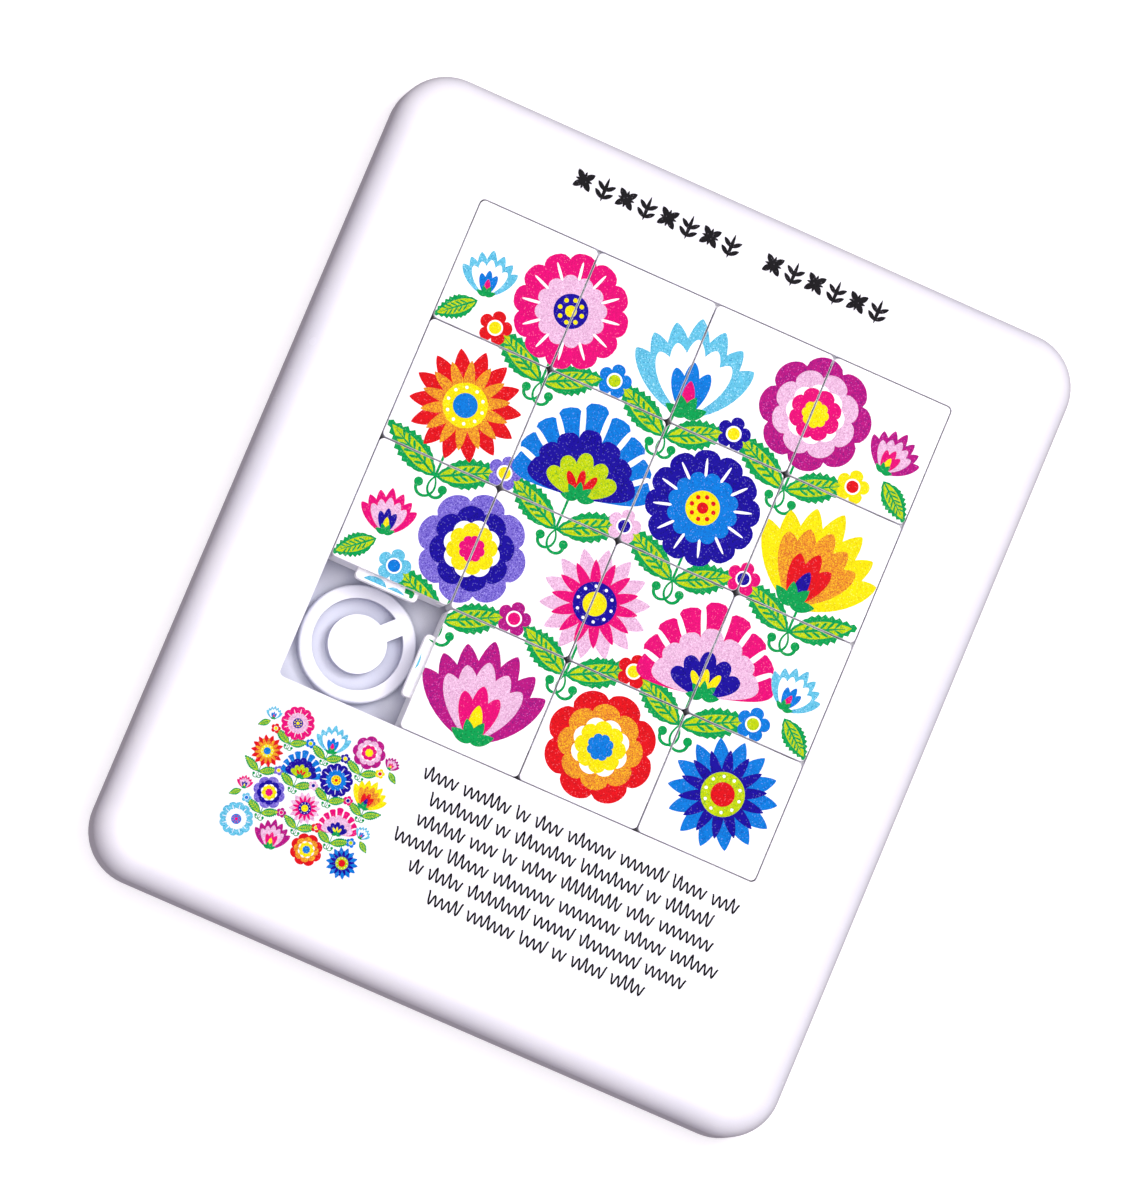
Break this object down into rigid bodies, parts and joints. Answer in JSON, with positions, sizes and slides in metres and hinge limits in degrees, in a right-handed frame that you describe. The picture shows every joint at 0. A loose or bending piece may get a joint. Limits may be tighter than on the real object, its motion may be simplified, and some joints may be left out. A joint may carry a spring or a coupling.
{
  "type": "sliding tile puzzle",
  "caption": "Flat pocket sliding puzzle: square interlocking tiles with a folk flower print, held in a square window of a rounded white case, with one empty cell.",
  "frame": {"origin": "centre of the case's back face, on the surface that the puzzle lies on", "axes": "+X to the right of the picture, +Y towards the puzzle's top edge (the title line's side), +Z out of the printed face"},
  "size_m": [0.08, 0.094, 0.008],
  "materials": {
    "case_plastic": "glossy white moulded plastic",
    "cover_plastic": "white moulded plastic, a little duller than the bezel",
    "tile_plastic": "satin white moulded plastic",
    "printed_ink": "thin opaque ink in many colours, printed on the plastic"
  },
  "bodies": {
    "case": {"front_bezel": "case_plastic", "back_cover": "cover_plastic"},
    "tile_row1_col1": {"tile_row1_col1": "tile_plastic"},
    "tile_row1_col2": {"tile_row1_col2": "tile_plastic"},
    "tile_row1_col3": {"tile_row1_col3": "tile_plastic"},
    "tile_row1_col4": {"tile_row1_col4": "tile_plastic"},
    "tile_row2_col1": {"tile_row2_col1": "tile_plastic"},
    "tile_row2_col2": {"tile_row2_col2": "tile_plastic"},
    "tile_row2_col3": {"tile_row2_col3": "tile_plastic"},
    "tile_row2_col4": {"tile_row2_col4": "tile_plastic"},
    "tile_row3_col1": {"tile_row3_col1": "tile_plastic"},
    "tile_row3_col2": {"tile_row3_col2": "tile_plastic"},
    "tile_row3_col3": {"tile_row3_col3": "tile_plastic"},
    "tile_row3_col4": {"tile_row3_col4": "tile_plastic"},
    "tile_row4_col2": {"tile_row4_col2": "tile_plastic"},
    "tile_row4_col3": {"tile_row4_col3": "tile_plastic"},
    "tile_row4_col4": {"tile_row4_col4": "tile_plastic"}
  },
  "joints": [
    {"name": "tile_row3_col1_slide", "type": "slide", "parent": "case", "child": "tile_row3_col1", "axis": [0, -1, 0], "range_m": [0, 0.014]},
    {"name": "tile_row2_col1_slide", "type": "slide", "parent": "case", "child": "tile_row2_col1", "axis": [0, -1, 0], "range_m": [0, 0.014]},
    {"name": "tile_row1_col1_slide", "type": "slide", "parent": "case", "child": "tile_row1_col1", "axis": [0, -1, 0], "range_m": [0, 0.014]},
    {"name": "tile_row4_col2_slide", "type": "slide", "parent": "case", "child": "tile_row4_col2", "axis": [1, 0, 0], "range_m": [-0.014, 0]},
    {"name": "tile_row4_col3_slide", "type": "slide", "parent": "case", "child": "tile_row4_col3", "axis": [1, 0, 0], "range_m": [-0.014, 0]},
    {"name": "tile_row4_col4_slide", "type": "slide", "parent": "case", "child": "tile_row4_col4", "axis": [1, 0, 0], "range_m": [-0.014, 0]},
    {"name": "tile_row1_col2_play", "type": "slide", "parent": "case", "child": "tile_row1_col2", "axis": [0, 1, 0], "range_m": [-0.0001, 0.0001]},
    {"name": "tile_row1_col3_play", "type": "slide", "parent": "case", "child": "tile_row1_col3", "axis": [0, 1, 0], "range_m": [-0.0001, 0.0001]},
    {"name": "tile_row1_col4_play", "type": "slide", "parent": "case", "child": "tile_row1_col4", "axis": [0, 1, 0], "range_m": [-0.0001, 0.0001]},
    {"name": "tile_row2_col2_play", "type": "slide", "parent": "case", "child": "tile_row2_col2", "axis": [0, 1, 0], "range_m": [-0.0001, 0.0001]},
    {"name": "tile_row2_col3_play", "type": "slide", "parent": "case", "child": "tile_row2_col3", "axis": [0, 1, 0], "range_m": [-0.0001, 0.0001]},
    {"name": "tile_row2_col4_play", "type": "slide", "parent": "case", "child": "tile_row2_col4", "axis": [0, 1, 0], "range_m": [-0.0001, 0.0001]},
    {"name": "tile_row3_col2_play", "type": "slide", "parent": "case", "child": "tile_row3_col2", "axis": [0, 1, 0], "range_m": [-0.0001, 0.0001]},
    {"name": "tile_row3_col3_play", "type": "slide", "parent": "case", "child": "tile_row3_col3", "axis": [0, 1, 0], "range_m": [-0.0001, 0.0001]},
    {"name": "tile_row3_col4_play", "type": "slide", "parent": "case", "child": "tile_row3_col4", "axis": [0, 1, 0], "range_m": [-0.0001, 0.0001]}
  ],
  "couplings": [
    {"joint": "tile_row2_col1_slide", "follows": "tile_row3_col1_slide", "ratio": 1},
    {"joint": "tile_row1_col1_slide", "follows": "tile_row3_col1_slide", "ratio": 1},
    {"joint": "tile_row4_col3_slide", "follows": "tile_row4_col2_slide", "ratio": 1},
    {"joint": "tile_row4_col4_slide", "follows": "tile_row4_col2_slide", "ratio": 1}
  ]
}
